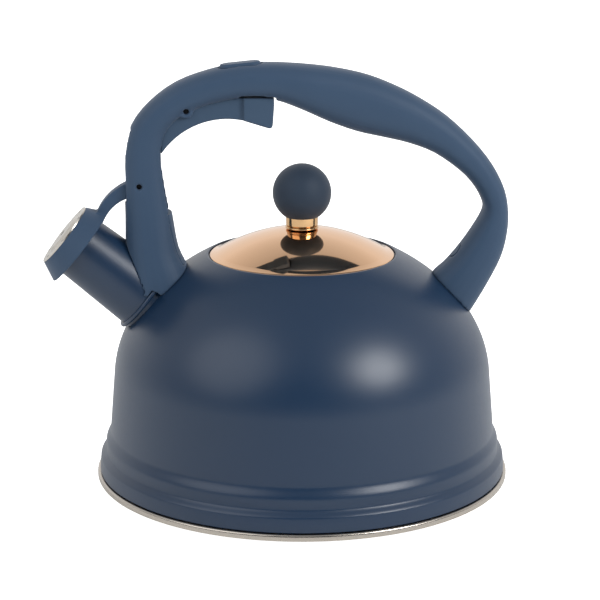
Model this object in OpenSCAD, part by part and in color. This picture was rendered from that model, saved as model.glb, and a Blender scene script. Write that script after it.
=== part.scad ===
// Stovetop whistling kettle: painted steel body, arched handle with a squeeze trigger,
// spout with a lift-up whistle cap and a lift-off mirror lid.
// Origin: centre of the underside. +Z is up and the spout points towards -X.

/* [Body] */
// Diameter of the steel rim at the bottom
base_d = 220; // [200:1:240]
// Height of the steel rim at the bottom
rim_h = 4; // [3:0.5:6]
// Diameter of the painted wall just above the rim
skirt_d = 217; // [198:1:236]
// Diameter between the two steps of the skirt
step_d = 210; // [196:1:228]
// Diameter of the wall above the steps
wall_d = 205; // [190:1:222]
// Diameter where the wall turns into the shoulder
shoulder_d = 200; // [186:1:216]
// Height where the wall turns into the shoulder
shoulder_z = 54; // [46:1:64]
// Horizontal half axis of the shoulder's curve
shoulder_reach = 122; // [110:1:134]
// Vertical half axis of the shoulder's curve
shoulder_rise = 82.5; // [76:0.5:90]
// Thickness of the pressed sheet
skin = 1; // [0.8:0.1:1.4]
// Thickness of the aluminium heat disc
heat_disc_h = 2; // [1.5:0.1:2.4]

/* [Lid] */
// Diameter of the lid
lid_d = 97.4; // [88:0.2:104]
// Height of the lid's domed top above its edge
lid_rise = 13.6; // [9:0.2:15]
// Depth of the ring that locates the lid in the mouth
lid_ring_h = 9; // [6:0.5:12]
// Diameter of the ball knob
knob_d = 30.8; // [26:0.2:32]
// Diameter of the neck under the ball
neck_d = 17; // [12:0.2:19]
// Height of the whole neck under the ball
neck_h = 6.6; // [5:0.2:9]

/* [Spout] */
// Angle of the spout's axis above level
spout_tilt = 39; // [36:0.5:42]
// Distance of the spout's root from the kettle's axis
spout_x = 83; // [80:0.5:85]
// Length of the spout tube from its root
spout_len = 47; // [44:0.5:50]
// Diameter of the tube at its root
spout_root_d = 36.8; // [34:0.2:38]
// Diameter of the tube at its tip
spout_tip_d = 33.2; // [31:0.2:34]

/* [Whistle cap] */
// Length of the cap along the spout
cap_len = 10.2; // [9.6:0.2:13]
// Diameter of the cap's front face
cap_front_d = 36; // [35.6:0.2:38]
// Diameter of the cap's rear edge
cap_rear_d = 45.8; // [44:0.2:49]
// Angle that the cap swings open
cap_swing = 24; // [16:1:26]
// Diameter of the hinge pins
pin_d = 3; // [2.5:0.1:3.4]
// Running clearance of a pin in its bore, on the radius
pin_gap = 0.05; // [0.03:0.01:0.1]

/* [Handle] */
// Half width of the grip across the hand
grip_half_w = 13.5; // [12:0.5:15]
// Half width of the front post
post_half_w = 11; // [10.5:0.5:12.5]
// Half width of the space inside the post
channel_half_w = 6.8; // [6.4:0.1:7.2]
// Half width of the slot that the whistle arm comes out of
slot_half_w = 5; // [4.8:0.1:5.4]
// Clearance between pieces that move past each other
gap = 0.3; // [0.25:0.05:0.4]

/* [Trigger and button] */
// Half width of the finger block
block_half_w = 8.4; // [7.6:0.1:9]
// Length of the oval thumb button
button_len = 22; // [18:0.5:24]
// Width of the oval thumb button
button_w = 10; // [8:0.5:12]
// Travel of the thumb button
button_travel = 2; // [1.5:0.1:2.2]

/* [Hidden] */
$fn = 96;
eps = 0.01;

paint = "#2f4058";
grip_blue = "#3f506b";
steel = "#b9b4ac";
rose_gold = "#d9a582";
gold = "#c99a5b";

// ---- body ----
mouth_r = lid_d / 2 + 0.6;
mouth_edge_r = mouth_r + skin;
shoulder_axis_r = shoulder_d / 2 - shoulder_reach;
mouth_angle = acos((mouth_edge_r - shoulder_axis_r) / shoulder_reach);
mouth_z = shoulder_z + shoulder_rise * sin(mouth_angle);
lid_edge_z = mouth_z - 0.05;
ledge_z = lid_edge_z - skin - gap;
mouth_hole_r = mouth_r - 4;

// A smooth step from one point of a profile to the next
function ease(p, q, n = 8) = [
    for (i = [0:n]) let (t = i / n)
        [p.x + (q.x - p.x) * (1 - cos(180 * t)) / 2, p.y + (q.y - p.y) * t]
];

// The shoulder's quarter ellipse from the wall up to an angle
function shoulder(inset, last, n = 24) = [
    for (i = [0:n]) let (a = last * i / n)
        [shoulder_axis_r + (shoulder_reach - inset) * cos(a),
         shoulder_z + (shoulder_rise - inset) * sin(a)]
];

// Height of the shoulder's outside at a radius
function shoulder_z_at(r) =
    shoulder_z + shoulder_rise * sqrt(1 - pow((r - shoulder_axis_r) / shoulder_reach, 2));

function wall_profile(inset) = [
    for (p = concat(
        [[skirt_d / 2, rim_h + 0.4], [(skirt_d - 1) / 2, 11.3]],
        ease([(skirt_d - 1) / 2 - 0.1, 12], [step_d / 2 + 0.1, 15.6]),
        [[step_d / 2, 19]],
        ease([step_d / 2 - 0.1, 20.5], [wall_d / 2, 26.5])
    )) [p.x - inset, p.y]
];

module body_outside() {
    rotate_extrude()
    polygon(concat(
        [[0, rim_h + 0.4]], wall_profile(0), shoulder(0, mouth_angle), [[0, mouth_z]]
    ));
}

module body_inside() {
    top_angle = asin((ledge_z - skin - shoulder_z) / (shoulder_rise - skin));
    rotate_extrude()
    polygon(concat(
        [[0, rim_h]], [[skirt_d / 2 - skin, rim_h]], wall_profile(skin),
        shoulder(skin, top_angle), [[0, ledge_z - skin]]
    ));
}

// ---- spout ----
spout_root_z = shoulder_z_at(spout_x) + 2.4;
spout_root_r = spout_root_d / 2;
spout_tip_r = spout_tip_d / 2;
collar_r = spout_root_r + 2;
cap_start = spout_len - 4.1;
cap_end = cap_start + cap_len;
cap_bore_r = spout_tip_r + 1.5;

// Places children on the spout's axis, with +Z running out along it
module along_spout(s = 0) {
    translate([-spout_x, 0, spout_root_z])
    rotate([0, spout_tilt - 90, 0])
    translate([0, 0, s])
    children();
}

// A point in the upright plane, a distance out along the spout and a height above its top
function on_spout(s, up) = let (
    r = spout_root_r + (spout_tip_r - spout_root_r) * s / spout_len + up
) [-spout_x - s * cos(spout_tilt) + r * sin(spout_tilt),
   spout_root_z + s * sin(spout_tilt) + r * cos(spout_tilt)];

// The distance along the spout at which a height above its top reaches a given x
function spout_s_at(x, up) = ((spout_root_r + up) * sin(spout_tilt) - spout_x - x) / cos(spout_tilt);

module body_shell() {
    color(paint)
    difference() {
        union() {
            body_outside();
            along_spout(-14) cylinder(r = spout_root_r, h = 14);
        }
        body_inside();
        translate([0, 0, ledge_z]) cylinder(r = mouth_r, h = 10);
        translate([0, 0, ledge_z - 2 * skin]) cylinder(r = mouth_hole_r, h = 10);
        along_spout(-20) cylinder(r = spout_root_r - skin, h = 21);
    }
}

module base_pan() {
    flange_r = skirt_d / 2 - skin - 0.5;
    color(steel)
    rotate_extrude()
    polygon([
        [0, rim_h - 1], [base_d / 2 - 4, rim_h - 1], [base_d / 2 - 3, 0.6],
        [base_d / 2 - 0.8, 0.4], [base_d / 2, 1], [base_d / 2, rim_h - 0.5],
        [base_d / 2 - 0.5, rim_h], [flange_r, rim_h],
        [flange_r, rim_h + 4], [flange_r - skin, rim_h + 4],
        [flange_r - skin, rim_h], [0, rim_h]
    ]);
}

module heat_disc() {
    color("silver")
    translate([0, 0, rim_h - 1 - heat_disc_h])
    cylinder(d = base_d - 16, h = heat_disc_h);
}

module capsule_plate() {
    cap_r = base_d / 2 - 6;
    color(steel)
    rotate_extrude()
    polygon([
        [0, 0], [cap_r - 1, 0], [cap_r, 1], [cap_r, rim_h - 1],
        [cap_r - 0.6, rim_h - 1], [cap_r - 0.6, rim_h - 1 - heat_disc_h], [0, rim_h - 1 - heat_disc_h]
    ]);
}

module spout_tube() {
    color(paint)
    along_spout()
    difference() {
        union() {
            cylinder(r1 = spout_root_r, r2 = spout_tip_r, h = spout_len);
            translate([0, 0, spout_len - 0.6])
            rotate_extrude() translate([spout_tip_r - 0.2, 0]) circle(r = 0.6, $fn = 24);
        }
        translate([0, 0, -eps])
        cylinder(r1 = spout_root_r - skin, r2 = spout_tip_r - skin, h = spout_len + 1);
    }
}

module spout_collar() {
    color(paint)
    along_spout()
    rotate_extrude()
    difference() {
        translate([spout_root_r + 1, 0]) circle(r = 1.1, $fn = 32);
        translate([0, -5]) square([spout_root_r, 10]);
    }
}

// ---- handle ----
// The handle and all it carries are drawn over a shoulder at this height, then raised to it
drawn_shoulder_z = 54;
lift = shoulder_z - drawn_shoulder_z;

module raised() {
    translate([0, 0, lift]) children();
}

// Sections from the front foot, over the top, to the rear foot:
// outer edge x and z, inner edge x and z, half width
foot_half_w = grip_half_w;
sections = [
    [-94.4, 92, -55, 98, 20.4],
    [-93, 108, -59.2, 112, 18.6],
    [-92.8, 124, -64.7, 124, 15.6],
    [-92.5, 142, -67.8, 142, post_half_w + 1.4],
    [-92.7, 158, -70.4, 158, post_half_w + 0.3],
    [-92.8, 174, -71.8, 173, post_half_w],
    [-88.6, 189.6, -69.8, 185.2, post_half_w],
    [-79, 201.8, -62.6, 193.6, post_half_w + 0.3],
    [-65.1, 211.9, -54, 197.8, post_half_w + 0.7],
    [-48.2, 218.1, -44, 201, post_half_w + 1],
    [-32, 221.2, -31, 203.2, post_half_w + 1.3],
    [-14, 221.6, -15, 202.6, grip_half_w - 0.8],
    [5, 220.3, -0.5, 197.4, grip_half_w],
    [20, 218.2, 14, 190.8, grip_half_w],
    [35, 214.6, 28.4, 185.6, grip_half_w],
    [49.3, 208.8, 42, 182.5, grip_half_w],
    [61.5, 202.4, 55.5, 179.2, grip_half_w - 0.5],
    [75.6, 193, 69.1, 173.8, grip_half_w - 1.3],
    [89.5, 180, 82.6, 164.2, grip_half_w - 2.2],
    [99.8, 167.2, 90.2, 156, grip_half_w - 2.8],
    [106.4, 154.2, 94.6, 148, grip_half_w - 3],
    [108.7, 142.2, 95.2, 143, grip_half_w - 2.8],
    [108.3, 130.5, 91.4, 135.5, grip_half_w - 2.2],
    [105.4, 118, 84, 124.5, grip_half_w - 1.2],
    [98.4, 103.6, 76.4, 115.3, grip_half_w - 0.4],
    [90.4, 89.8, 70.7, 110.3, foot_half_w],
    [87.5, 85.8, 67.8, 106.3, foot_half_w]
];
section_steps = 3;
section_points = 28;
squareness = 2.5;

function spline(a, b, c, d, t) = 0.5 * (
    2 * b + (c - a) * t + (2 * a - 5 * b + 4 * c - d) * t * t
    + (3 * b - a - 3 * c + d) * t * t * t
);

last_section = len(sections) - 1;
handle_rings = concat(
    [for (i = [0:last_section - 1]) for (k = [0:section_steps - 1])
        spline(sections[max(i - 1, 0)], sections[i], sections[i + 1],
               sections[min(i + 2, last_section)], k / section_steps)],
    [sections[last_section]]
);

function soften(v) = sign(v) * pow(abs(v), 2 / squareness);

function ring_points(s) = [
    for (k = [0:section_points - 1]) let (
        a = 360 * k / section_points,
        u = soften(cos(a)),
        v = soften(sin(a))
    ) [(s[0] + s[2]) / 2 + (s[0] - s[2]) / 2 * u, s[4] * v, (s[1] + s[3]) / 2 + (s[1] - s[3]) / 2 * u]
];

module handle_sweep() {
    n = section_points;
    rings = len(handle_rings);
    points = [for (s = handle_rings) each ring_points(s)];
    sides = [
        for (j = [0:rings - 2]) for (k = [0:n - 1]) let (
            a = j * n + k, b = j * n + (k + 1) % n, c = a + n, d = b + n
        ) each [[a, b, c], [b, d, c]]
    ];
    first = [[for (k = [n - 1:-1:0]) k]];
    last = [[for (k = [0:n - 1]) (rings - 1) * n + k]];
    polyhedron(points = points, faces = concat(sides, first, last));
}

// Pivots of the trigger and the whistle arm
trigger_x = -60.1;
trigger_z = 197.9;
whistle_x = -84.8;
whistle_z = 158.9;
tail_len = 11;
tail_lean = cap_swing / 2;
tail_x = whistle_x - tail_len * sin(tail_lean);
tail_z = whistle_z + tail_len * cos(tail_lean);
pin_r = pin_d / 2;
bore_r = pin_r + pin_gap;

// Places children in the upright plane through the spout, centred on the plane
module plate(half_w) {
    rotate([90, 0, 0])
    linear_extrude(2 * half_w, center = true)
    children();
}

// A pin or bore across the kettle
module cross_pin(x, z, r, half_w) {
    translate([x, 0, z])
    rotate([90, 0, 0])
    cylinder(r = r, h = 2 * half_w, center = true, $fn = 48);
}

// Points of a curve from p to q that leaves and arrives in line with c
function bend(p, c, q, n = 16) = [
    for (i = [0:n]) let (t = i / n) (1 - t) * (1 - t) * p + 2 * t * (1 - t) * c + t * t * q
];

// Arc points in the upright plane
function arc(cx, cz, r0, r1, a0, a1, n = 16) = [
    for (i = [0:n]) let (t = i / n, r = r0 + (r1 - r0) * t, a = a0 + (a1 - a0) * t)
        [cx + r * cos(a), cz + r * sin(a)]
];

cover_top_z = 143.4;
cover_low_z = 116.5;
wall_x = -72.5;
pocket_top_z = 213;
block_front_x = -30.6;
block_rear_x = -14.7;

module post_channel() {
    plate(channel_half_w)
    polygon([
        [-89.5, 182], [-89.5, 112], [wall_x, 112], [wall_x, cover_top_z], [-60, cover_top_z],
        [-60, 180], [-52, 190], [block_front_x, 190], [block_front_x, pocket_top_z],
        [-42, pocket_top_z], [-58, 206], [-72, 203], [-82, 194]
    ]);
}

module front_slot() {
    plate(slot_half_w)
    polygon([[-100, 149.4], [-80, 149.4], [-80, 187.6], [-100, 187.6]]);
}

module block_pocket() {
    plate(block_half_w + gap + 0.1)
    polygon([
        [block_front_x - 1, 184], [block_rear_x + 1.2, 184],
        [block_rear_x + 1.2, pocket_top_z], [block_front_x - 2.4, pocket_top_z]
    ]);
}

module cover_prism(clear) {
    plate(channel_half_w + 1.2 + clear)
    polygon([
        [-67.6 - clear, cover_low_z - clear], [-50, cover_low_z - clear],
        [-50, cover_top_z + clear], [-71.6 - clear, cover_top_z + clear]
    ]);
}

button_x = -32;
button_top_z = 222;
button_lean = 5.5;
well_floor_z = 214.8;

// An oval cylinder along +Z
module oval(len, w, h) {
    linear_extrude(h) {
        square([len - w, w], center = true);
        for (side = [-1, 1]) translate([side * (len - w) / 2, 0]) circle(d = w, $fn = 48);
    }
}

// The rear foot's frame: +Z up the leg, +X down the kettle's shoulder
rear_foot = sections[last_section - 1];
foot_mid = [(rear_foot[0] + rear_foot[2]) / 2, 0, (rear_foot[1] + rear_foot[3]) / 2];
foot_lean = atan2(rear_foot[3] - rear_foot[1], rear_foot[0] - rear_foot[2]);
module at_rear_foot() {
    translate(foot_mid)
    rotate([0, foot_lean, 0])
    children();
}

pad_len = 22;
pad_w = 18;
tang_w = 12;
tang_t = 3;
rear_screw_up = 15;
front_screw_z = 129;
screw_r = 2;
screw_seat_x = -71.2;

module rear_screw_at(x) {
    at_rear_foot()
    translate([x, 0, rear_screw_up])
    rotate([0, 90, 0])
    children();
}

module front_screw_at(x) {
    translate([x, 0, front_screw_z])
    rotate([0, -90, 0])
    children();
}

// Spaces inside the handle for the parts that it carries
module handle_hollows() {
    post_channel();
    front_slot();
    block_pocket();
    cover_prism(0.15);
    cross_pin(trigger_x, trigger_z, bore_r, 20);
    cross_pin(whistle_x, whistle_z, bore_r, 20);
    // thumb button
    translate([button_x, 0, well_floor_z]) oval(button_len + 0.8, button_w + 0.8, 20);
    translate([button_x, 0, well_floor_z - 15]) cylinder(r = 2.1, h = 20, $fn = 48);
    // rear foot's pad, tang and screw
    at_rear_foot() {
        translate([0, 0, -8]) oval(pad_len + 0.6, pad_w + 0.6, 8.2);
        translate([-tang_t / 2 - 0.1, -tang_w / 2 - 0.1, -1])
        cube([tang_t + 0.2, tang_w + 0.2, 23.2]);
    }
    rear_screw_at(-20) cylinder(r = screw_r + 0.05, h = 28, $fn = 48);
    rear_screw_at(-20) cylinder(r = 4, h = 12, $fn = 48);
    front_screw_at(-60) cylinder(r = screw_r + 0.05, h = 20, $fn = 48);
    front_screw_at(-60) cylinder(r = 4, h = -60 - screw_seat_x, $fn = 48);
}

module handle_grip() {
    color(grip_blue)
    difference() {
        raised() union() {
            handle_sweep();
            cross_pin(trigger_x, trigger_z, 3.9, 9);
        }
        raised() handle_hollows();
        // foot over the spout
        body_outside();
        along_spout(-20) cylinder(r = collar_r + 0.3, h = 21.3);
        along_spout() cylinder(r1 = spout_root_r + 0.2, r2 = spout_tip_r + 0.2, h = spout_len);
        along_spout(-1.3) translate([-40, -30, 0]) cube([41, 60, 60]);
        along_spout(-21.3) translate([-40, -30, 0]) cube([49, 60, 20]);
    }
}

module post_cover() {
    color(grip_blue)
    raised() difference() {
        intersection() {
            handle_sweep();
            cover_prism(0);
        }
        front_screw_at(screw_seat_x + 2.4) cylinder(r = 4.1, h = 6, $fn = 48);
    }
}

module front_bracket() {
    tang_top = cover_top_z + lift - 5.4;
    foot_end = 19;
    heel = spout_s_at(wall_x - 0.1, 1.6);
    color(steel)
    difference() {
        // foot along the top of the spout, and the upright tang behind the screw
        plate(5)
        polygon([
            on_spout(heel, 0), on_spout(foot_end, 0), on_spout(foot_end, 1.6),
            on_spout(spout_s_at(wall_x - 2.5, 1.6), 1.6), [wall_x - 2.5, tang_top],
            [wall_x - 0.1, tang_top], on_spout(heel, 1.6)
        ]);
        raised() front_screw_at(-60) cylinder(r = screw_r, h = 30, $fn = 48);
    }
}

module screw(shank, head_r, head_h) {
    difference() {
        union() {
            cylinder(r = screw_r, h = shank, $fn = 48);
            translate([0, 0, -head_h]) cylinder(r = head_r, h = head_h, $fn = 48);
        }
        translate([0, 0, -head_h - 1]) {
            translate([-2, -0.4, 0]) cube([4, 0.8, 2.2]);
            translate([-0.4, -2, 0]) cube([0.8, 4, 2.2]);
        }
    }
}

module front_screw() {
    color(steel)
    raised() front_screw_at(screw_seat_x)
    screw(8, 3.4, 2);
}

module rear_screw() {
    color(steel)
    raised() rear_screw_at(-8)
    screw(14, 3.4, 2);
}

module screw_plug() {
    color(grip_blue)
    raised() intersection() {
        handle_sweep();
        rear_screw_at(-20) cylinder(r = 3.85, h = 9.6, $fn = 48);
    }
}

module rear_bracket() {
    color(paint)
    difference() {
        raised() at_rear_foot()
        union() {
            translate([0, 0, -5]) oval(pad_len, pad_w, 4.9);
            translate([-tang_t / 2, -tang_w / 2, -2]) cube([tang_t, tang_w, 24]);
        }
        body_outside();
        raised() rear_screw_at(-10) cylinder(r = screw_r, h = 20, $fn = 48);
    }
}

module trigger_pin() {
    color(steel)
    raised() cross_pin(trigger_x, trigger_z, pin_r, 8);
}

module whistle_pin() {
    color(steel)
    raised() cross_pin(whistle_x, whistle_z, pin_r, 8.6);
}

// ---- trigger ----
block_top_z = 204.4;
fork_half_w = 4.4;
fork_gap_half_w = 1.9;
tail_pin_r = 1.2;
fork_slot_r = tail_pin_r + 0.4;

module trigger() {
    color("#46586f")
    raised() difference() {
        union() {
            // strip under the handle
            plate(channel_half_w - gap)
            polygon(concat(
                arc(-38.5, 152.5, 41.4, 40.6, 147, 79),
                [[block_front_x + 2, 192.4], [block_front_x + 2, block_top_z], [-46, block_top_z],
                 [-54, 202], [-64, 200.6], [-74, 186]]
            ));
            // front arm inside the post
            plate(fork_half_w)
            polygon([
                [-73.6, 176], [-76, 174.6], [-81.6, tail_z + 0.8], [-82.8, tail_z - 2],
                [-90.2, tail_z - 2], [-90.4, tail_z + 4.8], [-86, 181], [-77, 190.6], [-66, 200.4], [-64, 190]
            ]);
            // finger block
            plate(block_half_w)
            polygon([
                [block_front_x, 192.5], [-17.2, 188.3], [-16, 188.6], [-15.4, 189.8],
                [block_rear_x, 200], [block_rear_x, block_top_z], [block_front_x, block_top_z]
            ]);
            translate([-22, 0, block_top_z - eps]) cylinder(r = 1.9, h = 2.2, $fn = 32);
        }
        cross_pin(trigger_x, trigger_z, bore_r, 20);
        // gap between the fork's tines
        plate(fork_gap_half_w)
        polygon([
            [-95, tail_z - 7], [-80, tail_z - 7], [-80, tail_z + 1],
            [-81.5, tail_z + 8.2], [-95, tail_z + 8.2]
        ]);
        // slot for the whistle arm's pin
        translate([tail_x, 0, tail_z])
        rotate([0, 6.5, 0]) {
            cross_pin(0, 4.2, fork_slot_r, 20);
            translate([-fork_slot_r, -20, -5]) cube([2 * fork_slot_r, 40, 9.2]);
        }
    }
}

// A coil of round wire with flat rings, along +Z
module coil(r, wire_r, h, turns, steps = 14, sides = 6) {
    n = turns * steps;
    points = [
        for (i = [0:n]) for (k = [0:sides - 1]) let (
            a = 360 * i / steps,
            b = 360 * k / sides,
            rr = r + wire_r * cos(b)
        ) [rr * cos(a), rr * sin(a), wire_r + (h - 2 * wire_r) * i / n + wire_r * sin(b)]
    ];
    tube = [
        for (i = [0:n - 1]) for (k = [0:sides - 1]) let (
            p = i * sides + k, q = i * sides + (k + 1) % sides
        ) each [[p, q, p + sides], [q, q + sides, p + sides]]
    ];
    polyhedron(points = points, faces = concat(
        tube, [[for (k = [sides - 1:-1:0]) k]], [[for (k = [0:sides - 1]) n * sides + k]]
    ));
}

module trigger_spring() {
    color(steel)
    raised() translate([-22, 0, block_top_z + 0.05])
    coil(3, 0.35, pocket_top_z - block_top_z - 0.1, 5);
}

// ---- thumb button ----
button_skirt_z = well_floor_z + button_travel + 0.5;
clip_h = 0.8;

module thumb_button() {
    color(grip_blue)
    raised() difference() {
        union() {
            intersection() {
                translate([button_x, 0, button_skirt_z]) oval(button_len, button_w, 9);
                translate([button_x, 0, button_top_z - 1])
                rotate([0, -button_lean, 0])
                translate([0, 0, -11.2]) {
                    oval(button_len + 2, button_w + 2, 11);
                    oval(button_len - 1.4, button_w - 1.4, 12);
                }
            }
            translate([button_x, 0, well_floor_z - 2.8 - clip_h])
            cylinder(r = 1.8, h = 9, $fn = 32);
        }
        translate([button_x, 0, button_skirt_z - 1])
        difference() {
            cylinder(r = 4, h = 4, $fn = 48);
            translate([0, 0, -1]) cylinder(r = 1.8, h = 6, $fn = 32);
        }
        // groove of the clip
        translate([button_x, 0, well_floor_z - 2.2 - clip_h])
        difference() {
            cylinder(r = 3, h = clip_h + 0.1, $fn = 32);
            cylinder(r = 1.2, h = clip_h + 0.1, $fn = 32);
        }
    }
}

module button_clip() {
    color(steel)
    raised() translate([button_x, 0, well_floor_z - 2.2 - clip_h])
    difference() {
        cylinder(r = 3.2, h = clip_h, $fn = 32);
        translate([0, 0, -1]) cylinder(r = 1.25, h = 3, $fn = 32);
        translate([0, -1, -1]) cube([5, 2, 3]);
    }
}

module button_spring() {
    color(steel)
    raised() translate([button_x, 0, well_floor_z + 0.05])
    coil(2.9, 0.3, button_skirt_z + 3 - well_floor_z - 0.1, 4);
}

// ---- whistle ----
plate_t = 0.6;
seal_t = 1.2;

// A point in the upright plane, by its place along the spout and distance above its axis
function cap_point(s, r) = [
    -spout_x - s * cos(spout_tilt) + r * sin(spout_tilt),
    spout_root_z - lift + s * sin(spout_tilt) + r * cos(spout_tilt)
];

module whistle_arm() {
    color(grip_blue)
    difference() {
        union() {
            along_spout(cap_start) cylinder(d1 = cap_rear_d, d2 = cap_front_d, h = cap_len);
            raised() {
                plate(4.4)
                polygon(concat(
                    bend([whistle_x - 5, whistle_z - 7],
                         [cap_point(cap_start + 4.8, 20.9).x + 6.3, whistle_z - 10],
                         cap_point(cap_start - 1.8, 16)),
                    [cap_point(cap_start + 5.5, 16.9)],
                    bend(cap_point(cap_start + 4.8, 20.9),
                         [cap_point(cap_start + 4.8, 20.9).x + 4.6, whistle_z - 4],
                         [whistle_x - 5.8, whistle_z + 1.1]),
                    [[whistle_x + 1, whistle_z + 4], [whistle_x + 3, whistle_z - 4]]
                ));
                cross_pin(whistle_x, whistle_z, 4.3, 4.4);
                // tail in the trigger's fork
                plate(fork_gap_half_w - gap)
                polygon([
                    [whistle_x - 2.6, whistle_z + 3], [tail_x - 2.2, tail_z],
                    [tail_x, tail_z + 2.2], [tail_x + 2.2, tail_z], [whistle_x + 2.6, whistle_z + 3]
                ]);
                cross_pin(tail_x, tail_z, tail_pin_r, 4.2);
            }
        }
        raised() cross_pin(whistle_x, whistle_z, bore_r, 20);
        // socket over the tube and sound chamber
        along_spout(cap_start - 12) cylinder(r = cap_bore_r, h = 17.5);
        along_spout(cap_start) cylinder(r = cap_bore_r - 4.4, h = cap_len + 1);
    }
}

module whistle_front_plate() {
    plate_r = cap_front_d / 2 - 0.2;
    color(steel)
    along_spout(cap_end)
    difference() {
        rotate_extrude()
        polygon([
            [0, 0.9], [plate_r * 0.52, 0.9], [plate_r * 0.62, 0], [plate_r, 0],
            [plate_r, plate_t], [plate_r * 0.66, plate_t], [plate_r * 0.56, 0.9 + plate_t], [0, 0.9 + plate_t]
        ]);
        translate([0, 0, -1]) cylinder(r = 1.6, h = 4, $fn = 32);
        for (i = [0:5]) rotate(60 * i + 30)
            translate([plate_r * 0.84, 0, -1]) cylinder(r = 0.9, h = 4, $fn = 24);
    }
}

module whistle_back_plate() {
    color(steel)
    along_spout(cap_start + 5.5 - plate_t)
    difference() {
        cylinder(r = cap_bore_r - 0.2, h = plate_t);
        translate([0, 0, -1]) cylinder(r = 1.6, h = 4, $fn = 32);
    }
}

module spout_seal() {
    color("#e8e4dc")
    along_spout(cap_start + 5.5 - plate_t - seal_t + 0.4)
    difference() {
        cylinder(r = cap_bore_r - 0.1, h = seal_t - 0.4);
        translate([0, 0, -1]) cylinder(r = spout_tip_r - 3, h = 4);
    }
}

// ---- lid ----
lid_r = lid_d / 2;
brim_r = lid_r - 3.6;
dome_flatness = 2;
lid_skin = 0.8;
lid_top_z = lid_edge_z + lid_rise;

function dome_z(r) =
    lid_edge_z + 1 + (lid_rise - 1) * (1 - pow(min(r / brim_r, 1), dome_flatness));

function dome_line(drop, n = 24) = [
    for (i = [0:n]) let (r = brim_r * i / n) [r, dome_z(r) - drop]
];

module lid_dome() {
    color(rose_gold)
    difference() {
        rotate_extrude()
        polygon(concat(
            dome_line(0), [[lid_r - 0.5, lid_edge_z], [lid_r, lid_edge_z - 0.4],
            [lid_r, lid_edge_z - skin], [brim_r + 0.5, lid_edge_z - skin]],
            [for (i = [24:-1:0]) dome_line(lid_skin)[i]]
        ));
        translate([0, 0, lid_edge_z]) cylinder(r = screw_r + 0.1, h = 30, $fn = 32);
    }
}

module lid_ring() {
    ring_r = mouth_hole_r - 0.7;
    ring_top = lid_edge_z - skin + 0.6;
    color(steel)
    difference() {
        translate([0, 0, lid_edge_z - skin - lid_ring_h])
        cylinder(r = ring_r, h = ring_top - lid_edge_z + skin + lid_ring_h);
        translate([0, 0, lid_edge_z - skin - lid_ring_h - 1])
        cylinder(r = ring_r - 0.8, h = 40);
        for (side = [0:2]) rotate(120 * side + 60)
            translate([ring_r, 0, lid_edge_z - skin - lid_ring_h + 3])
            rotate([0, 90, 0]) cylinder(r = 1.5, h = 6, center = true, $fn = 32);
    }
}

washer_h = 1.2;
washer_r = 7;
washer_z = dome_z(washer_r) - lid_skin - washer_h - 0.03;

module lid_washer() {
    color(steel)
    translate([0, 0, washer_z])
    difference() {
        cylinder(r = washer_r, h = washer_h);
        translate([0, 0, -1]) cylinder(r = screw_r + 0.1, h = 4, $fn = 32);
    }
}

neck_low_h = 1.4;
ball_z = lid_top_z + neck_h - 0.5 + sqrt(pow(knob_d / 2, 2) - pow(neck_d / 2, 2));
socket_z = lid_top_z + neck_h + 0.4;

module lid_screw() {
    color(steel)
    translate([0, 0, washer_z])
    screw(socket_z + 9 - washer_z, 4, 2.2);
}

module knob_ferrule() {
    color(gold)
    translate([0, 0, lid_top_z])
    difference() {
        rotate_extrude()
        polygon([
            [0, 0], [neck_d / 2 - 0.2, 0], [neck_d / 2 + 0.2, 0.4],
            [neck_d / 2 + 0.2, neck_low_h - 0.4], [neck_d / 2 - 0.2, neck_low_h], [0, neck_low_h]
        ]);
        translate([0, 0, -1]) cylinder(r = screw_r + 0.1, h = 20, $fn = 32);
    }
}

module knob_neck() {
    color(gold)
    translate([0, 0, lid_top_z + neck_low_h])
    difference() {
        rotate_extrude()
        polygon([
            [0, 0], [neck_d / 2 - 0.3, 0], [neck_d / 2, 0.3],
            [neck_d / 2, neck_h - neck_low_h], [0, neck_h - neck_low_h]
        ]);
        translate([0, 0, -1]) cylinder(r = screw_r + 0.1, h = 20, $fn = 32);
    }
}

module knob_ball() {
    color(paint)
    difference() {
        translate([0, 0, ball_z]) sphere(d = knob_d);
        translate([0, 0, lid_top_z]) cylinder(d = neck_d, h = neck_h);
        translate([0, 0, lid_top_z]) cylinder(r = 4, h = socket_z + 12 - lid_top_z, $fn = 48);
    }
}

module knob_insert() {
    color(gold)
    translate([0, 0, socket_z])
    difference() {
        cylinder(r = 4, h = 12, $fn = 48);
        translate([0, 0, -1]) cylinder(r = screw_r, h = 11, $fn = 48);
    }
}

body_shell();
base_pan();
heat_disc();
capsule_plate();
spout_tube();
spout_collar();
front_bracket();
rear_bracket();
handle_grip();
post_cover();
front_screw();
rear_screw();
screw_plug();
trigger_pin();
whistle_pin();
trigger();
trigger_spring();
thumb_button();
button_clip();
button_spring();
whistle_arm();
whistle_front_plate();
whistle_back_plate();
spout_seal();
lid_dome();
lid_ring();
lid_washer();
lid_screw();
knob_ferrule();
knob_neck();
knob_ball();
knob_insert();
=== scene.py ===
# %% [markdown]
# # Dressing a stovetop whistling kettle
# The engineering model is already right in size and place. It comes in as a fixed frame of
# named parts, each with its place in its own mesh. This lesson turns smooth pressed and spun
# pieces over it, rounds the moulded ones, and gives every surface the finish it has in a
# kitchen: satin enamel, soft-touch nylon, rose-gold mirror and plain steel.

# %% Load the engineering model
import math

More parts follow.
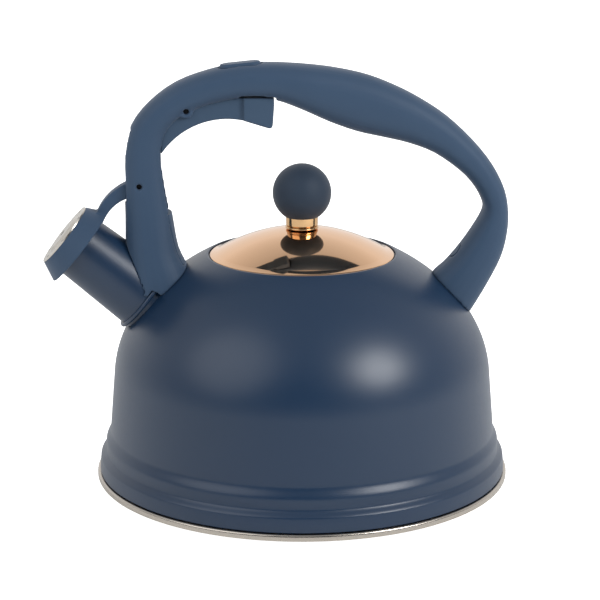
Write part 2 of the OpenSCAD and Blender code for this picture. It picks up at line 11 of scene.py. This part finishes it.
import bpy
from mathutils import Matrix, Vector


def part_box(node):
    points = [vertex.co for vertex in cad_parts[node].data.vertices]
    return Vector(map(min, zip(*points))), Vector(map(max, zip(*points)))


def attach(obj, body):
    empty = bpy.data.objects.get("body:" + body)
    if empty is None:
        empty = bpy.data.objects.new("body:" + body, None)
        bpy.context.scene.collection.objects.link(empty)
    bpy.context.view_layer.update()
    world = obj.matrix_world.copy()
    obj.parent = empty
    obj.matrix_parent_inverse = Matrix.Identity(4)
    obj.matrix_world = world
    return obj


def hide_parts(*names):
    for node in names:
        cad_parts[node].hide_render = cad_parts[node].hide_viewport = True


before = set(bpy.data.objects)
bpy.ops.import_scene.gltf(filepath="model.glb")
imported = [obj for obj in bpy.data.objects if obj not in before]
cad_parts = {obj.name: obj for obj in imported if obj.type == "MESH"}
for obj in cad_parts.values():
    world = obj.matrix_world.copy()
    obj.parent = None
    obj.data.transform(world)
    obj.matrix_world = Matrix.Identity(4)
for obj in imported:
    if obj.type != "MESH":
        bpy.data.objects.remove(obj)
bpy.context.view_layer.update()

MM = 0.001

# %% [markdown]
# ## The view
# A kettle is sold from a little above and square on, with a long lens, so that the rims show
# as flat ellipses and the handle's arch is not stretched. A long lens from about a metre away
# gives that. The camera is made first, because every later choice is judged through it.

# %% Camera
CAMERA_PLACE = (-0.0586, -1.0984, 0.3888)
CAMERA_TILT, CAMERA_TURN = 75.03, -3.0
LENS_MM, SENSOR_MM, FAR_CLIP = 128.75, 36, 30
bpy.ops.object.select_all(action="DESELECT")
bpy.ops.object.camera_add(location=CAMERA_PLACE,
                          rotation=(math.radians(CAMERA_TILT), 0, math.radians(CAMERA_TURN)))
camera = bpy.context.active_object
camera.name = "catalogue_camera"
camera.data.lens = LENS_MM
camera.data.sensor_width = SENSOR_MM
camera.data.clip_end = FAR_CLIP
bpy.context.scene.camera = camera
bpy.context.scene.view_settings.view_transform = "Standard"
bpy.context.scene.view_settings.look = "None"
print("camera at", tuple(round(v, 3) for v in camera.location))

# %% [markdown]
# ## Colours and nodes
# Paint shops give colours as sRGB hex values, and a shader wants linear light, so one function
# turns one into the other. A second small function adds a shader node with its settings and
# links, and all the finishes below are written with these two.

# %% Helpers for materials
MIX_FACTOR, MIX_A, MIX_B, MIX_RESULT = 0, 6, 7, 2


def linear(hex_colour):
    channels = [int(hex_colour[i:i + 2], 16) / 255 for i in (1, 3, 5)]
    return tuple(c / 12.92 if c <= 0.04045 else ((c + 0.055) / 1.055) ** 2.4
                 for c in channels) + (1.0,)


def add(tree, kind, inputs, **settings):
    node = tree.nodes.new(kind)
    for name, value in settings.items():
        setattr(node, name, value)
    for name, value in inputs.items():
        if isinstance(value, bpy.types.NodeSocket):
            tree.links.new(value, node.inputs[name])
        else:
            node.inputs[name].default_value = value
    return node


def start_finish(name, **constants):
    material = bpy.data.materials.new(name)
    material.use_nodes = True
    tree = material.node_tree
    shader = tree.nodes["Principled BSDF"]
    for key, value in constants.items():
        shader.inputs[key.replace("_", " ")].default_value = value
    place = add(tree, "ShaderNodeTexCoord", {}).outputs["Object"]
    return material, tree, shader, place


# %% [markdown]
# ## Satin navy enamel
# The body and spout are pressed steel with a baked satin coating. It is not a metal to the
# eye: a dark navy base under a clear skin that spreads a lamp into a wide soft glow. Sprayed
# coatings keep a faint orange peel about 2 mm across, and their depth of colour drifts a
# little over a hand's width. Both are drawn with noise, the peel as bump and as roughness.

# %% Satin enamel
def satin_enamel():
    material, tree, shader, place = start_finish(
        "satin_navy_enamel", IOR=1.5, Coat_Weight=0.15, Coat_Roughness=0.3)
    drift = add(tree, "ShaderNodeTexNoise",
                {"Vector": place, "Scale": 1 / (60 * MM), "Detail": 2.0})
    colour = add(tree, "ShaderNodeMix", {
        MIX_FACTOR: drift.outputs["Fac"], MIX_A: linear("#0f2b48"), MIX_B: linear("#132e49")},
        data_type="RGBA")
    peel = add(tree, "ShaderNodeTexNoise",
               {"Vector": place, "Scale": 1 / (2 * MM), "Detail": 3.0, "Roughness": 0.4})
    gloss = add(tree, "ShaderNodeMapRange",
                {"Value": peel.outputs["Fac"], "To Min": 0.35, "To Max": 0.41})
    bump = add(tree, "ShaderNodeBump",
               {"Height": peel.outputs["Fac"], "Strength": 0.25, "Distance": 0.02 * MM})
    tree.links.new(colour.outputs[MIX_RESULT], shader.inputs["Base Color"])
    tree.links.new(gloss.outputs["Result"], shader.inputs["Roughness"])
    tree.links.new(bump.outputs["Normal"], shader.inputs["Normal"])
    return material


ENAMEL = satin_enamel()
print("made", ENAMEL.name)


# %% [markdown]
# ## Soft-touch nylon
# The handle, trigger, button and whistle cap are moulded nylon with a rubbery soft-touch coat.
# It is nearly matt, with a fine even grain of about 0.3 mm and a light bloom at the edges.
# Grain that fine hardly shows, so it is drawn at 0.5 mm. The ball knob has the same coat in a
# darker navy, so one recipe makes both.

# %% Soft-touch coat
def soft_touch(name, low, high, roughness):
    material, tree, shader, place = start_finish(
        name, IOR=1.5, Sheen_Weight=0.12, Sheen_Roughness=0.5)
    shader.inputs["Specular IOR Level"].default_value = 0.35
    drift = add(tree, "ShaderNodeTexNoise",
                {"Vector": place, "Scale": 1 / (25 * MM), "Detail": 3.0})
    colour = add(tree, "ShaderNodeMix", {
        MIX_FACTOR: drift.outputs["Fac"], MIX_A: linear(low), MIX_B: linear(high)},
        data_type="RGBA")
    grain = add(tree, "ShaderNodeTexNoise",
                {"Vector": place, "Scale": 1 / (0.5 * MM), "Detail": 2.0, "Roughness": 0.6})
    dull = add(tree, "ShaderNodeMapRange",
               {"Value": grain.outputs["Fac"],
                "To Min": roughness - 0.05, "To Max": roughness + 0.07})
    bump = add(tree, "ShaderNodeBump",
               {"Height": grain.outputs["Fac"], "Strength": 0.35, "Distance": 0.03 * MM})
    tree.links.new(colour.outputs[MIX_RESULT], shader.inputs["Base Color"])
    tree.links.new(dull.outputs["Result"], shader.inputs["Roughness"])
    tree.links.new(bump.outputs["Normal"], shader.inputs["Normal"])
    return material


HANDLE_COAT = soft_touch("dusty_blue_soft_touch", "#2e455f", "#334a64", 0.58)
TRIGGER_COAT = soft_touch("trigger_blue_soft_touch", "#324860", "#374d65", 0.6)
BALL_COAT = soft_touch("dark_navy_soft_touch", "#213042", "#253547", 0.62)
print("made", HANDLE_COAT.name, TRIGGER_COAT.name, BALL_COAT.name)


# %% [markdown]
# ## Spun and polished metals
# Every round metal piece here was finished while it turned, so its marks run round the kettle
# in circles. A noise read only by distance from the axis and by height draws such rings. The
# mirror lid and the gilt neck show them as the faintest blur, the rim and the base clearly.

# %% Turned metals
def turned_metal(name, low, high, roughness, ring_mm, depth_mm, anisotropy=0.0):
    material, tree, shader, place = start_finish(name, Metallic=1.0, Anisotropic=anisotropy)
    split = add(tree, "ShaderNodeSeparateXYZ", {"Vector": place})
    flat = add(tree, "ShaderNodeCombineXYZ", {"X": split.outputs["X"], "Y": split.outputs["Y"]})
    radius = add(tree, "ShaderNodeVectorMath", {0: flat.outputs["Vector"]}, operation="LENGTH")
    around = add(tree, "ShaderNodeCombineXYZ",
                 {"X": radius.outputs["Value"], "Y": split.outputs["Z"]})
    rings = add(tree, "ShaderNodeTexNoise",
                {"Vector": around.outputs["Vector"], "Scale": 1 / (ring_mm * MM), "Detail": 3.0})
    smudge = add(tree, "ShaderNodeTexNoise",
                 {"Vector": place, "Scale": 1 / (18 * MM), "Detail": 3.0})
    colour = add(tree, "ShaderNodeMix", {
        MIX_FACTOR: smudge.outputs["Fac"], MIX_A: linear(low), MIX_B: linear(high)},
        data_type="RGBA")
    gloss = add(tree, "ShaderNodeMapRange",
                {"Value": smudge.outputs["Fac"],
                 "To Min": roughness * 0.8, "To Max": roughness * 1.25})
    bump = add(tree, "ShaderNodeBump",
               {"Height": rings.outputs["Fac"], "Strength": 0.3, "Distance": depth_mm * MM})
    tree.links.new(colour.outputs[MIX_RESULT], shader.inputs["Base Color"])
    tree.links.new(gloss.outputs["Result"], shader.inputs["Roughness"])
    tree.links.new(bump.outputs["Normal"], shader.inputs["Normal"])
    return material


LID_MIRROR = turned_metal("rose_gold_mirror", "#dfb38d", "#e2b893", 0.06, 0.8, 0.0003)
GILT = turned_metal("gilt_brass", "#c9a377", "#d0ab80", 0.13, 0.5, 0.004)
RIM_STEEL = turned_metal("polished_rim_steel", "#b3aba2", "#bdb6ad", 0.26, 0.4, 0.006, 0.3)
BASE_STEEL = turned_metal("spun_base_steel", "#b9b6b1", "#c3c0bc", 0.3, 0.9, 0.02, 0.5)
PLAIN_STEEL = turned_metal("plain_stainless_steel", "#bdb7ae", "#c8c3bb", 0.26, 1.5, 0.006)
DISC_ALUMINIUM = turned_metal("rolled_aluminium", "#c9cbce", "#d3d5d7", 0.4, 1.0, 0.02)
# The pins' near-black colour is painted shade of the deep holes they sit in, not a finish of the steel.
PIN_SHADE_DARK = turned_metal("pin_steel_painted_hole_shade", "#141517", "#1b1c1f", 0.45, 0.8, 0.006)
INSERT_BRASS = turned_metal("turned_brass", "#c79c55", "#d0a862", 0.25, 0.6, 0.02)
print("made", LID_MIRROR.name, GILT.name, RIM_STEEL.name, BASE_STEEL.name)


# %% [markdown]
# ## Silicone
# The seal in the whistle cap is milky moulded silicone. Light goes a little way into it, which
# subsurface scattering gives, and its surface is dull with a soft unevenness.

# %% Silicone
def milky_silicone():
    material, tree, shader, place = start_finish(
        "milky_silicone", IOR=1.41, Subsurface_Weight=0.4, Subsurface_Scale=1.5 * MM)
    cloud = add(tree, "ShaderNodeTexNoise", {"Vector": place, "Scale": 1 / (4 * MM), "Detail": 2.0})
    colour = add(tree, "ShaderNodeMix", {
        MIX_FACTOR: cloud.outputs["Fac"], MIX_A: linear("#e3dfd6"), MIX_B: linear("#ece9e1")},
        data_type="RGBA")
    dull = add(tree, "ShaderNodeMapRange",
               {"Value": cloud.outputs["Fac"], "To Min": 0.45, "To Max": 0.6})
    tree.links.new(colour.outputs[MIX_RESULT], shader.inputs["Base Color"])
    tree.links.new(dull.outputs["Result"], shader.inputs["Roughness"])
    return material


SILICONE = milky_silicone()
print("made", SILICONE.name)

# %% [markdown]
# ## Making a turned piece
# A spinner draws half a section and turns it. Here a plane is merged to one point, the point
# is extruded along the section, and the wire is spun a full turn about the kettle's axis. The
# seam and the poles are merged, and normals made to face outwards. Corners of a section are
# rounded first, because pressed sheet never has a sharp one.

# %% Helpers for turned pieces
FULL_TURN = 2 * math.pi
SMOOTH_ANGLE = 32
MERGE = 0.002 * MM


def rounded(section, softness=4):
    """Section points are (radius, height, cut), all in millimetres; cut is taken off a corner."""
    points = []
    for i, (r, z, cut) in enumerate(section):
        if not cut or i in (0, len(section) - 1):
            points.append((r, z))
            continue
        corner = Vector((r, z))
        ends = []
        for near in (section[i - 1], section[i + 1]):
            arm = Vector(near[:2]) - corner
            ends.append(corner + arm * min(0.49, cut / arm.length))
        for k in range(softness + 1):
            t = k / softness
            spot = ends[0] * (1 - t) ** 2 + corner * 2 * t * (1 - t) + ends[1] * t ** 2
            points.append((spot.x, spot.y))
    return points


def turn(name, section, steps=160):
    bpy.ops.object.select_all(action="DESELECT")
    bpy.ops.mesh.primitive_plane_add(size=10 * MM, location=(0, 0, 0))
    piece = bpy.context.active_object
    piece.name = name
    bpy.ops.object.mode_set(mode="EDIT")
    bpy.ops.mesh.select_all(action="SELECT")
    bpy.ops.mesh.merge(type="CENTER")
    bpy.ops.transform.translate(value=(section[0][0] * MM, 0, section[0][1] * MM))
    for (r, z), (next_r, next_z) in zip(section, section[1:]):
        step = ((next_r - r) * MM, 0, (next_z - z) * MM)
        bpy.ops.mesh.extrude_region_move(TRANSFORM_OT_translate={"value": step})
    bpy.ops.mesh.select_all(action="SELECT")
    bpy.ops.mesh.spin(steps=steps, angle=FULL_TURN, center=(0, 0, 0), axis=(0, 0, 1))
    bpy.ops.mesh.select_all(action="SELECT")
    bpy.ops.mesh.remove_doubles(threshold=MERGE)
    bpy.ops.mesh.normals_make_consistent(inside=False)
    bpy.ops.object.mode_set(mode="OBJECT")
    bpy.ops.object.shade_smooth_by_angle(angle=math.radians(SMOOTH_ANGLE))
    return piece


def cut_away(piece, cutter):
    """Takes the cutter's space out of the piece, then throws the cutter away."""
    bpy.ops.object.select_all(action="DESELECT")
    piece.select_set(True)
    bpy.context.view_layer.objects.active = piece
    cut = piece.modifiers.new("cut", "BOOLEAN")
    cut.operation = "DIFFERENCE"
    cut.object = cutter
    bpy.ops.object.modifier_apply(modifier=cut.name)
    bpy.data.objects.remove(cutter)
    bpy.ops.object.shade_smooth_by_angle(angle=math.radians(SMOOTH_ANGLE))


def dress(piece, material, body, finish, *nodes):
    piece.data.materials.clear()
    piece.data.materials.append(material)
    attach(piece, body)
    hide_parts(*nodes)
    print(piece.name, "has", len(piece.data.polygons), "faces and stands for", nodes)


# %% [markdown]
# ## The body
# The body is one deep pressing: a skirt with two rolled steps, a wall that leans in a little,
# and a broad shoulder that follows a quarter of an ellipse up to the mouth, where the sheet
# turns down to a ledge for the lid. The section is that line at full size, outside and inside.
# The wall meets the ellipse where the two have the same slope, so a highlight runs over it
# without a break.

# %% Body shell
SKIN = 1.0
SHOULDER = (-22.0, 54.0)
REACH, RISE = 122.0, 82.5
WALL_MEETS_SHOULDER = 3.5
low_corner, high_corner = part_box("body_shell")
skirt_r = high_corner[0] / MM
skirt_z = low_corner[2] / MM
mouth_z = high_corner[2] / MM


def shoulder_line(inset, first, last, count=44):
    line = []
    for k in range(count + 1):
        a = math.radians(first + (last - first) * k / count)
        line.append((SHOULDER[0] + (REACH - inset) * math.cos(a),
                     SHOULDER[1] + (RISE - inset) * math.sin(a)))
    return line


def eased_step(low, high, count=10):
    return [(low[0] + (high[0] - low[0]) * (1 - math.cos(math.pi * k / count)) / 2,
             low[1] + (high[1] - low[1]) * k / count) for k in range(count + 1)]


def skirt_line(inset):
    line = [(skirt_r - 0.35, skirt_z), (skirt_r, skirt_z + 0.4), (skirt_r - 0.15, 8.2)]
    line += eased_step((skirt_r - 0.5, 11.6), (105.1, 15.6))
    line += [(105.0, 17.2), (105.0, 19.0)] + eased_step((104.95, 20.0), (102.45, 26.8))
    return [(r - inset, z) for r, z in line]


mouth_angle = math.degrees(math.asin((mouth_z - SHOULDER[1]) / RISE))
ledge_z = mouth_z - 1.35
inner_angle = math.degrees(math.asin((ledge_z - SKIN - SHOULDER[1]) / (RISE - SKIN)))
outside = skirt_line(0) + shoulder_line(0, WALL_MEETS_SHOULDER, mouth_angle)
mouth_r = outside[-1][0] - SKIN
lip = rounded([outside[-2] + (0,), outside[-1] + (0.4,), (mouth_r, mouth_z, 0.4),
               (mouth_r, ledge_z, 0.3), (mouth_r - 4, ledge_z, 0.3),
               (mouth_r - 4, ledge_z - SKIN, 0.3), (mouth_r + 2, ledge_z - SKIN, 0)])
inside = shoulder_line(SKIN, WALL_MEETS_SHOULDER, inner_angle)[::-1] + skirt_line(SKIN)[::-1]
body = turn("body_pressing", outside[:-2] + lip[:-1] + inside + outside[:1], steps=224)
print("mouth radius", round(mouth_r, 2), "mm at height", round(mouth_z, 2))

# %% [markdown]
# ## The spout
# The spout is a slightly tapering tube welded into a hole in the shoulder, with a rolled lip
# at its tip and a raised weld collar at its root. It is turned upright like everything else,
# then leaned over and carried to its place, and the hole through the shoulder is cut with a
# plain cylinder on the same axis.

# %% Spout tube, collar and hole
TILT = math.radians(39)
SPOUT_ROOT = Vector((-83.0, 0, 98.41)) * MM
ROOT_R, TIP_R, TUBE = 18.4, 16.6, 47.0


def lean_to_spout(piece):
    """Leans a piece that was made upright onto the spout's axis."""
    bpy.ops.object.select_all(action="DESELECT")
    piece.select_set(True)
    bpy.context.view_layer.objects.active = piece
    piece.rotation_euler = (0, TILT - math.pi / 2, 0)
    piece.location = SPOUT_ROOT
    bpy.ops.object.transform_apply(location=True, rotation=True, scale=True)
    return piece


def tube_r(along):
    return ROOT_R + (TIP_R - ROOT_R) * along / TUBE


tube_section = [(ROOT_R, -13, 0), (ROOT_R, 0, 1), (tube_r(TUBE - 2), TUBE - 2, 1),
                (TIP_R + 0.35, TUBE - 0.7, 0.5), (TIP_R, TUBE, 0.4), (TIP_R - 1, TUBE, 0.4),
                (tube_r(20) - 1, 20, 1), (ROOT_R - 1, -13, 0), (ROOT_R, -13, 0)]
spout = lean_to_spout(turn("spout_tube_tapered", rounded(tube_section), steps=128))
collar_section = [(ROOT_R - 0.3, -1.1, 0), (ROOT_R + 1.6, -1.1, 0.8), (ROOT_R + 2.05, 0, 0.7),
                  (ROOT_R + 1.5, 1.0, 0.6), (ROOT_R + 0.6, 1.1, 0.4), (ROOT_R - 0.3, 1.1, 0),
                  (ROOT_R - 0.3, -1.1, 0)]
collar = lean_to_spout(turn("spout_weld_collar", rounded(collar_section), steps=128))

bpy.ops.object.select_all(action="DESELECT")
bpy.ops.mesh.primitive_cylinder_add(vertices=128, radius=(ROOT_R - 1) * MM, depth=40 * MM)
cut_away(body, lean_to_spout(bpy.context.active_object))
dress(body, ENAMEL, "kettle", "navy_paint", "body_shell")
dress(spout, ENAMEL, "kettle", "navy_paint", "spout_tube")
dress(collar, ENAMEL, "kettle", "navy_paint", "spout_collar")

# %% [markdown]
# ## The rim and the base
# Under the painted skirt sits the bright rim of the base pan, a rolled bead of bare steel with
# a thin dark gap above it. Below it a round capsule plate holds the heat disc against the pan.
# It stands on the stove and is spun with a few shallow rings. Both are short turned sections.

# %% Base pan and capsule plate
pan_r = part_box("base_pan")[1][0] / MM
pan_section = [(0, 3, 0), (pan_r - 4, 3, 0.5), (pan_r - 3, 0.6, 0.4), (pan_r - 0.8, 0.42, 0.8),
               (pan_r, 1.0, 0.6), (pan_r, 3.3, 0.9), (pan_r - 0.7, 4.0, 0.5),
               (pan_r - 3, 4.0, 0.2), (pan_r - 3, 8.0, 0.3), (pan_r - 4, 8.0, 0.3),
               (pan_r - 4, 4.0, 0.2), (0, 4, 0)]
base_pan = turn("base_pan_rolled_rim", rounded(pan_section), steps=224)
dress(base_pan, RIM_STEEL, "kettle", "steel", "base_pan")

plate_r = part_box("capsule_plate")[1][0] / MM
plate_section = [(0, 0.35, 0), (9, 0.35, 0.4), (9.6, 0, 0.4)]
for groove_r in (34, 58, 82):
    plate_section += [(groove_r - 1, 0, 0.4), (groove_r - 0.4, 0.35, 0.3),
                      (groove_r + 0.4, 0.35, 0.3), (groove_r + 1, 0, 0.4)]
plate_section += [(plate_r - 1.4, 0, 0.9), (plate_r, 1.3, 0.8), (plate_r, 3, 0.1),
                  (plate_r - 0.6, 3, 0.1), (plate_r - 0.6, 1, 0.1), (0, 1, 0)]
capsule = turn("capsule_plate_spun", rounded(plate_section), steps=192)
dress(capsule, BASE_STEEL, "kettle", "steel", "capsule_plate")

# %% [markdown]
# ## The lid
# The lid is a thin pressed cap, an even round dome that ends in a narrow brim. A mirror finish
# shows every flat in a mesh, so its section has many more points than its shape needs. The ball
# knob stands on a short gilt neck with a thin flange at its foot, and the dome mirrors both.

# %% Lid dome
dome_low, dome_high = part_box("lid_dome")
lid_r = dome_high[0] / MM
lid_top = dome_high[2] / MM
edge_z = dome_low[2] / MM + 1.0
BRIM, DOME_SKIN, FLATNESS = 3.6, 0.8, 2
dome_r = lid_r - BRIM


def dome_line(drop, count=72):
    return [(dome_r * k / count, lid_top - drop - (lid_top - edge_z - 1) * (k / count) ** FLATNESS)
            for k in range(count + 1)]


brim = rounded([dome_line(0)[-1] + (0,), (lid_r - 0.5, edge_z, 0.5), (lid_r, edge_z - 0.4, 0.3),
                (lid_r, edge_z - 1, 0.3), (dome_r + 0.5, edge_z - 1, 0.2),
                dome_line(DOME_SKIN)[-1] + (0,)])
lid = turn("lid_dome_mirror", dome_line(0)[:-1] + brim[:-1] + dome_line(DOME_SKIN)[::-1],
           steps=224)
dress(lid, LID_MIRROR, "lid", "rose_gold", "lid_dome")

# %% Neck and ball
ferrule_low, ferrule_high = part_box("knob_ferrule")
neck_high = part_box("knob_neck")[1]
ball_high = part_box("knob_ball")[1]
base_z, step_z, neck_z = ferrule_low[2] / MM, ferrule_high[2] / MM, neck_high[2] / MM
neck_r = neck_high[0] / MM
flange_r = ferrule_high[0] / MM
SCREW_HOLE_R = 2.1
ferrule_section = [(SCREW_HOLE_R, base_z, 0), (flange_r - 0.4, base_z, 0.2), (flange_r, base_z + 0.4, 0.2),
                   (flange_r, step_z - 0.4, 0.2), (flange_r - 0.4, step_z - 0.05, 0.2),
                   (SCREW_HOLE_R, step_z - 0.05, 0), (SCREW_HOLE_R, base_z, 0)]
ferrule = turn("knob_ferrule_flange", rounded(ferrule_section), steps=128)
neck_section = [(SCREW_HOLE_R, step_z, 0), (neck_r - 0.5, step_z, 0.1),
                (neck_r - 0.45, step_z + 0.35, 0.15), (neck_r, step_z + 0.6, 0.25),
                (neck_r, neck_z - 0.15, 0.3), (neck_r - 0.3, neck_z, 0.2),
                (SCREW_HOLE_R, neck_z, 0), (SCREW_HOLE_R, step_z, 0)]
neck = turn("knob_neck_ring", rounded(neck_section), steps=128)
dress(ferrule, GILT, "lid", "gold", "knob_ferrule")
dress(neck, GILT, "lid", "gold", "knob_neck")

ball_r = ball_high[0] / MM
ball_z = ball_high[2] / MM - ball_r
seat_angle = math.degrees(math.asin((neck_r + 0.25) / ball_r))
BALL_STEPS = 72
ball_angles = [math.radians(180 - (seat_angle + (180 - seat_angle) * k / BALL_STEPS))
               for k in range(BALL_STEPS + 1)]
ball_section = [(ball_r * math.sin(a), ball_z + ball_r * math.cos(a)) for a in ball_angles]
socket_z = neck_z - 0.5
seat = [(0, socket_z), (neck_r - 0.4, socket_z), (neck_r + 0.05, ball_section[0][1] + 0.25)]
ball_section = seat + ball_section
ball = turn("knob_ball_soft", ball_section, steps=160)
dress(ball, BALL_COAT, "lid", "soft_touch_navy", "knob_ball")


# %% [markdown]
# ## The moulded pieces
# The handle, its cover, the trigger, the thumb button and the whistle cap come from moulds, so
# every edge is a little round and no face is quite flat. The engineering parts have the right
# shape with hard edges. A merged copy of each is rebuilt from fine even cubes by a voxel
# remesh and then relaxed, which rounds the edges by about the width that a mould leaves.

# %% Rounded copies
def moulded(node, name, voxel, passes):
    bpy.ops.object.select_all(action="DESELECT")
    piece = bpy.data.objects.new(name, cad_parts[node].data.copy())
    bpy.context.scene.collection.objects.link(piece)
    piece.select_set(True)
    bpy.context.view_layer.objects.active = piece
    bpy.ops.mesh.customdata_custom_splitnormals_clear()
    bpy.ops.object.mode_set(mode="EDIT")
    bpy.ops.mesh.select_all(action="SELECT")
    bpy.ops.mesh.remove_doubles(threshold=MERGE)
    bpy.ops.object.mode_set(mode="OBJECT")
    cubes = piece.modifiers.new("cubes", "REMESH")
    cubes.mode = "VOXEL"
    cubes.voxel_size = voxel * MM
    relax = piece.modifiers.new("relax", "SMOOTH")
    relax.factor = 0.5
    relax.iterations = passes
    bpy.ops.object.modifier_apply(modifier=cubes.name)
    bpy.ops.object.modifier_apply(modifier=relax.name)
    bpy.ops.object.shade_smooth()
    return piece


for node, name, voxel, passes, coat, body_name in (
        ("handle_grip", "handle_moulding", 0.7, 5, HANDLE_COAT, "kettle"),
        ("post_cover", "post_cover_moulding", 0.4, 3, HANDLE_COAT, "kettle"),
        ("trigger", "trigger_moulding", 0.45, 14, TRIGGER_COAT, "trigger_lever"),
        ("thumb_button", "thumb_button_moulding", 0.3, 22, HANDLE_COAT, "button"),
        ("screw_plug", "screw_plug_moulding", 0.3, 3, HANDLE_COAT, "kettle"),
        ("whistle_arm", "whistle_cap_moulding", 0.45, 4, HANDLE_COAT, "whistle")):
    dress(moulded(node, name, voxel, passes), coat, body_name, "soft_touch_blue", node)

# %% [markdown]
# ## The parts that stay
# Screws, pins, brackets, springs, stamped plates and the seal have their right shape already,
# so they keep their meshes and only take a finish of their own; the pins' near-black one is
# painted shade of the deep holes they sit in.

# %% Finishes of the carried-over parts
for material, nodes in (
        (PLAIN_STEEL, ("front_bracket", "front_screw", "rear_screw",
                       "trigger_spring", "button_spring", "button_clip", "whistle_front_plate",
                       "whistle_back_plate", "lid_ring", "lid_washer", "lid_screw")),
        # The pins take a near-black colour that paints the shade inside their deep holes.
        (PIN_SHADE_DARK, ("trigger_pin", "whistle_pin")),
        (ENAMEL, ("rear_bracket",)),
        (DISC_ALUMINIUM, ("heat_disc",)),
        (INSERT_BRASS, ("knob_insert",)),
        (SILICONE, ("spout_seal",))):
    for node in nodes:
        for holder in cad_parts[node].material_slots:
            holder.material = material
    print(material.name, "on", len(nodes), "parts")

# %% [markdown]
# ## The studio
# A pale sweep, a lamp box high on the right, a wider and weaker one on the left, and a white
# wall behind that greys towards the ceiling: the kettle shows two soft glows with a dark band between them, and its
# edges pick up the light of the sweep. The floor glows faintly, as a lit sweep does, so that
# only a trace of shadow is left.

# %% Floor
FLOOR_SIZE, FLOOR_Z = 12, -0.0002
GLOW_AS_LIGHT, GLOW_SEEN = 0.2, 1.0
bpy.ops.object.select_all(action="DESELECT")
bpy.ops.mesh.primitive_plane_add(size=FLOOR_SIZE, location=(0, 0, FLOOR_Z))
floor = bpy.context.active_object
floor.name = "studio_floor"
floor_paper, tree, shader, place = start_finish("matt_white_paper", Roughness=0.9)
shader.inputs["Base Color"].default_value = linear("#f2f2f0")
shader.inputs["Emission Color"].default_value = linear("#ffffff")
rays = add(tree, "ShaderNodeLightPath", {})
glow = add(tree, "ShaderNodeMapRange", {
    "Value": rays.outputs["Is Camera Ray"], "To Min": GLOW_AS_LIGHT, "To Max": GLOW_SEEN})
tree.links.new(glow.outputs["Result"], shader.inputs["Emission Strength"])
under = add(tree, "ShaderNodeNewGeometry", {})
clear = add(tree, "ShaderNodeBsdfTransparent", {})
one_way = add(tree, "ShaderNodeMixShader",
              {0: under.outputs["Backfacing"], 1: shader.outputs["BSDF"], 2: clear.outputs["BSDF"]})
tree.links.new(one_way.outputs["Shader"], tree.nodes["Material Output"].inputs["Surface"])
floor.data.materials.append(floor_paper)


# %% Lamps and surroundings
def lamp_box(name, azimuth, elevation, distance, width, watts):
    """Azimuth is from the front towards the right, seen by the camera."""
    a, e = math.radians(azimuth), math.radians(elevation)
    aim = Vector((0, 0, 0.08))
    heading = Vector((math.sin(a) * math.cos(e), -math.cos(a) * math.cos(e), math.sin(e)))
    spot = aim + distance * heading
    bpy.ops.object.select_all(action="DESELECT")
    bpy.ops.object.light_add(type="AREA", location=spot)
    lamp = bpy.context.active_object
    lamp.name = name
    lamp.rotation_euler = (aim - spot).to_track_quat("-Z", "Y").to_euler()
    lamp.data.shape = "DISK"
    lamp.data.size = width
    lamp.data.energy = watts
    print(name, "at", tuple(round(v, 2) for v in spot), "with", watts, "W")


lamp_box("lamp_box_right", 50, 32, 1.5, 0.7, 14)
lamp_box("lamp_box_left", -54, 36, 1.5, 1.4, 8)

world = bpy.data.worlds.new("pale_studio")
world.use_nodes = True
bpy.context.scene.world = world
tree = world.node_tree
FRONT, BACK, OVERHEAD = "#303338", "#ffffff", "#b4b6b8"
HORIZON_BAND = (0.45, 1.0)
direction = add(tree, "ShaderNodeTexCoord", {})
split = add(tree, "ShaderNodeSeparateXYZ", {"Vector": direction.outputs["Generated"]})
depth = add(tree, "ShaderNodeMapRange", {
    "Value": split.outputs["Y"], "From Min": -0.5, "From Max": 0.6, "To Min": 0.0, "To Max": 1.0})
around = add(tree, "ShaderNodeMix", {
    MIX_FACTOR: depth.outputs["Result"], MIX_A: linear(FRONT), MIX_B: linear(BACK)},
    data_type="RGBA")
height = add(tree, "ShaderNodeMapRange", {
    "Value": split.outputs["Z"], "From Min": HORIZON_BAND[0], "From Max": HORIZON_BAND[1]})
shade = add(tree, "ShaderNodeMix", {
    MIX_FACTOR: height.outputs["Result"], MIX_A: around.outputs[MIX_RESULT],
    MIX_B: linear(OVERHEAD)}, data_type="RGBA")
tree.links.new(shade.outputs[MIX_RESULT], tree.nodes["Background"].inputs["Color"])
tree.nodes["Background"].inputs["Strength"].default_value = 1.0
print("two lamp boxes and a sky from", FRONT, "in front to", BACK, "behind")
